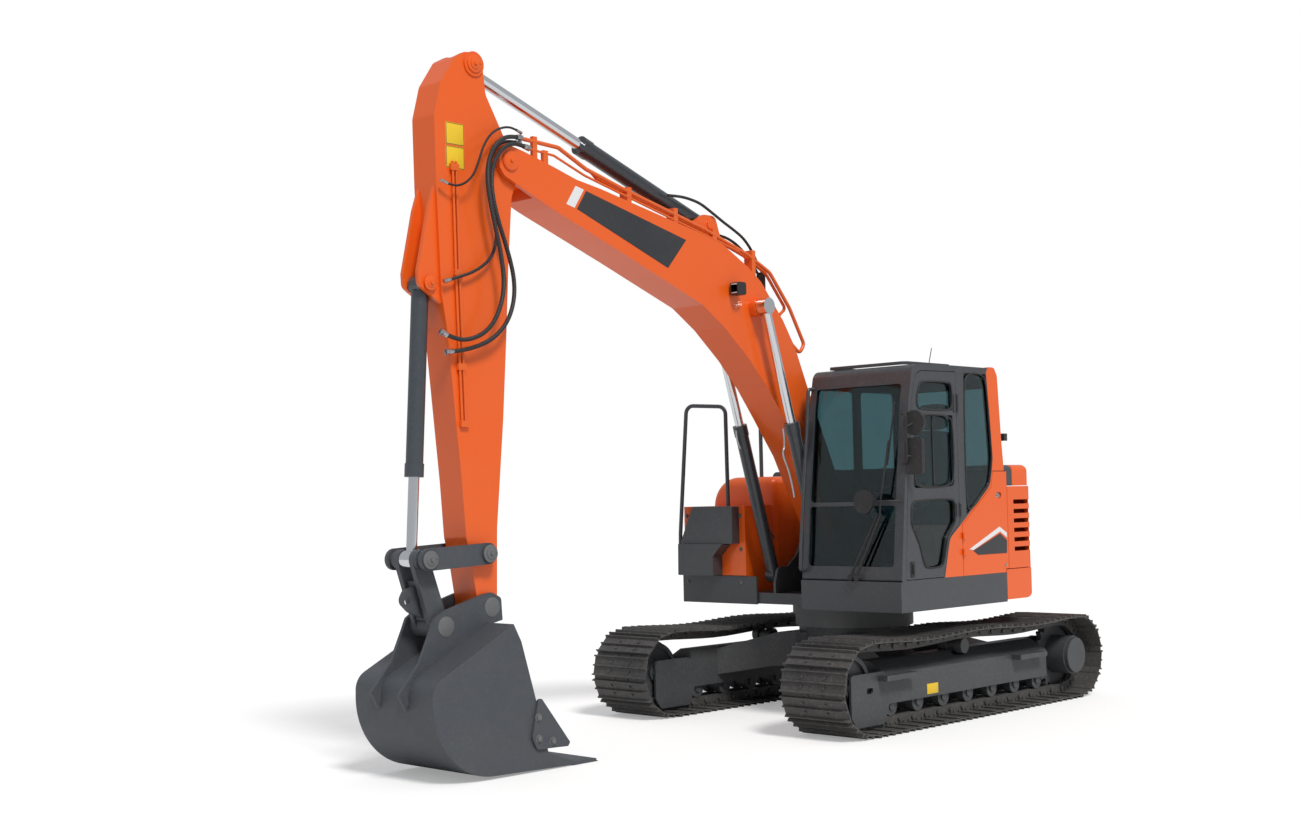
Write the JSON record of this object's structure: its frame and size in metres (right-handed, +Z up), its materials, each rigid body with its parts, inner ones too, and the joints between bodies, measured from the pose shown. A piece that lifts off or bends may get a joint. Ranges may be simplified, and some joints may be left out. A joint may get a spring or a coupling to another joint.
{
  "type": "crawler excavator",
  "caption": "Crawler excavator with a slewing house, glazed cab, boom, arm and bucket on two tracks.",
  "frame": {"origin": "on the ground under the swing axis", "axes": "+X to the machine's left where the cab is, +Y to the back, so the front faces -Y, +Z up"},
  "size_m": [2.725, 6.7766, 4.86],
  "materials": {
    "orange": "satin",
    "dark": "satin",
    "undercarriage": "satin",
    "track_steel": "brushed",
    "bucket_steel": "satin",
    "chrome": "polished",
    "cylinder_dark": "gloss",
    "glass": "gloss",
    "black_plastic": "matte",
    "fabric": "matte",
    "rubber": "matte",
    "lamp": "gloss",
    "iron": "matte",
    "pipe_orange": "satin"
  },
  "bodies": {
    "undercarriage": {"track_left": "track_steel", "track_right": "track_steel", "idlers": "undercarriage", "sprockets": "undercarriage", "track_rollers": "undercarriage", "carrier_rollers": "undercarriage", "track_frame_left": "undercarriage", "track_frame_right": "undercarriage", "carbody": "undercarriage", "slew_ring_lower": "iron"},
    "house": {"slew_ring_upper": "iron", "deck_frame": "dark", "base_skirts": "dark", "counterweight": "orange", "louvre_panel_left": "orange", "bulkhead": "dark", "engine_block": "iron", "front_box": "orange", "front_steps": "dark", "tank": "orange", "swing_motor": "iron", "control_valve": "iron", "handrails": "dark", "exhaust": "dark", "cab_shell": "dark", "cab_windows": "glass", "side_fairing": "orange", "seat": "fabric", "consoles": "black_plastic", "rear_lamp": "lamp", "roof_hatch": "dark", "cab_mirrors": "black_plastic", "cab_rails": "dark", "wiper": "black_plastic"},
    "cab_door": {"cab_door": "dark", "door_windows": "glass"},
    "right_door": {"right_door": "orange"},
    "engine_hood": {"engine_hood": "orange"},
    "boom": {"boom": "orange", "boom_lamp": "lamp", "boom_pipes": "pipe_orange", "bend_hoses": "rubber", "hose_outer": "rubber", "hose_inner": "rubber", "hose_small": "rubber", "hose_middle": "rubber"},
    "boom_barrels": {"boom_barrels": "orange"},
    "boom_rods": {"boom_rods": "chrome"},
    "arm": {"arm": "orange", "arm_pipes": "pipe_orange"},
    "arm_barrel": {"arm_barrel": "cylinder_dark"},
    "arm_rod": {"arm_rod": "chrome"},
    "bucket": {"bucket": "bucket_steel", "side_cutters": "bucket_steel"},
    "side_links": {"side_links": "bucket_steel"},
    "tipping_link": {"tipping_link": "bucket_steel"},
    "bucket_barrel": {"bucket_barrel": "cylinder_dark"},
    "bucket_rod": {"bucket_rod": "chrome"},
    "left_door": {"left_door": "orange"}
  },
  "joints": [
    {"name": "swing", "type": "hinge", "parent": "undercarriage", "child": "house", "pos_m": [0, 0, 0.79], "axis": [0, 0, 1], "continuous": true},
    {"name": "boom_lift", "type": "hinge", "parent": "house", "child": "boom", "pos_m": [-0.06, -0.2, 1.42], "axis": [-1, 0, 0], "range_deg": [-82, 26]},
    {"name": "boom_barrel_swing", "type": "hinge", "parent": "house", "child": "boom_barrels", "pos_m": [-0.06, -0.655, 1.13], "axis": [-1, 0, 0], "range_deg": [-86.8, 27.6]},
    {"name": "boom_rod_slide", "type": "slide", "parent": "boom_barrels", "child": "boom_rods", "axis": [0, -0.299, 0.9542], "range_m": [-0.647, 0.207]},
    {"name": "arm_swing", "type": "hinge", "parent": "boom", "child": "arm", "pos_m": [-0.06, -3.894, 4.141], "axis": [1, 0, 0], "range_deg": [-97, 21]},
    {"name": "arm_barrel_swing", "type": "hinge", "parent": "boom", "child": "arm_barrel", "pos_m": [-0.06, -1.78, 3.93], "axis": [1, 0, 0], "range_deg": [-0.6, 2.1]},
    {"name": "arm_rod_slide", "type": "slide", "parent": "arm_barrel", "child": "arm_rod", "axis": [0, -0.9431, 0.3325], "range_m": [-1.012, 0.221]},
    {"name": "bucket_curl", "type": "hinge", "parent": "arm", "child": "bucket", "pos_m": [-0.06, -4.121, 1.092], "axis": [1, 0, 0], "range_deg": [-70, 102]},
    {"name": "side_link_swing", "type": "hinge", "parent": "arm", "child": "side_links", "pos_m": [-0.06, -4.17, 1.452], "axis": [1, 0, 0], "range_deg": [-54.4, 79.2]},
    {"name": "tipping_link_swing", "type": "hinge", "parent": "side_links", "child": "tipping_link", "pos_m": [-0.06, -4.669, 1.43], "axis": [1, 0, 0], "range_deg": [-63.4, 43.5]},
    {"name": "bucket_barrel_swing", "type": "hinge", "parent": "arm", "child": "bucket_barrel", "pos_m": [-0.06, -4.564, 3.247], "axis": [1, 0, 0], "range_deg": [-1.9, 2.7]},
    {"name": "bucket_rod_slide", "type": "slide", "parent": "bucket_barrel", "child": "bucket_rod", "axis": [0, -0.0577, -0.9983], "range_m": [-0.393, 0.572]},
    {"name": "cab_door_swing", "type": "hinge", "parent": "house", "child": "cab_door", "pos_m": [1.264, -0.238, 1.9], "axis": [0, 0, 1], "range_deg": [0, 160]},
    {"name": "right_door_swing", "type": "hinge", "parent": "house", "child": "right_door", "pos_m": [-1.264, 0.468, 1.5], "axis": [0, 0, 1], "range_deg": [0, 90]},
    {"name": "hood_lift", "type": "hinge", "parent": "house", "child": "engine_hood", "pos_m": [0, 0.567, 2.021], "axis": [1, 0, 0], "range_deg": [0, 60]},
    {"name": "left_door_swing", "type": "hinge", "parent": "house", "child": "left_door", "pos_m": [1.264, -0.207, 1.5], "axis": [0, 0, 1], "range_deg": [-90, 0]}
  ],
  "couplings": [
    {"joint": "boom_barrel_swing", "follows": "boom_lift", "ratio": 1.0566},
    {"joint": "boom_rod_slide", "follows": "boom_lift", "m_per_rad": 0.45},
    {"joint": "arm_barrel_swing", "follows": "arm_swing", "ratio": -0.02},
    {"joint": "arm_rod_slide", "follows": "arm_swing", "m_per_rad": 0.5964},
    {"joint": "side_link_swing", "follows": "bucket_curl", "ratio": 0.775},
    {"joint": "tipping_link_swing", "follows": "bucket_curl", "ratio": -0.62},
    {"joint": "bucket_barrel_swing", "follows": "bucket_curl", "ratio": 0.025},
    {"joint": "bucket_rod_slide", "follows": "bucket_curl", "m_per_rad": 0.32}
  ]
}
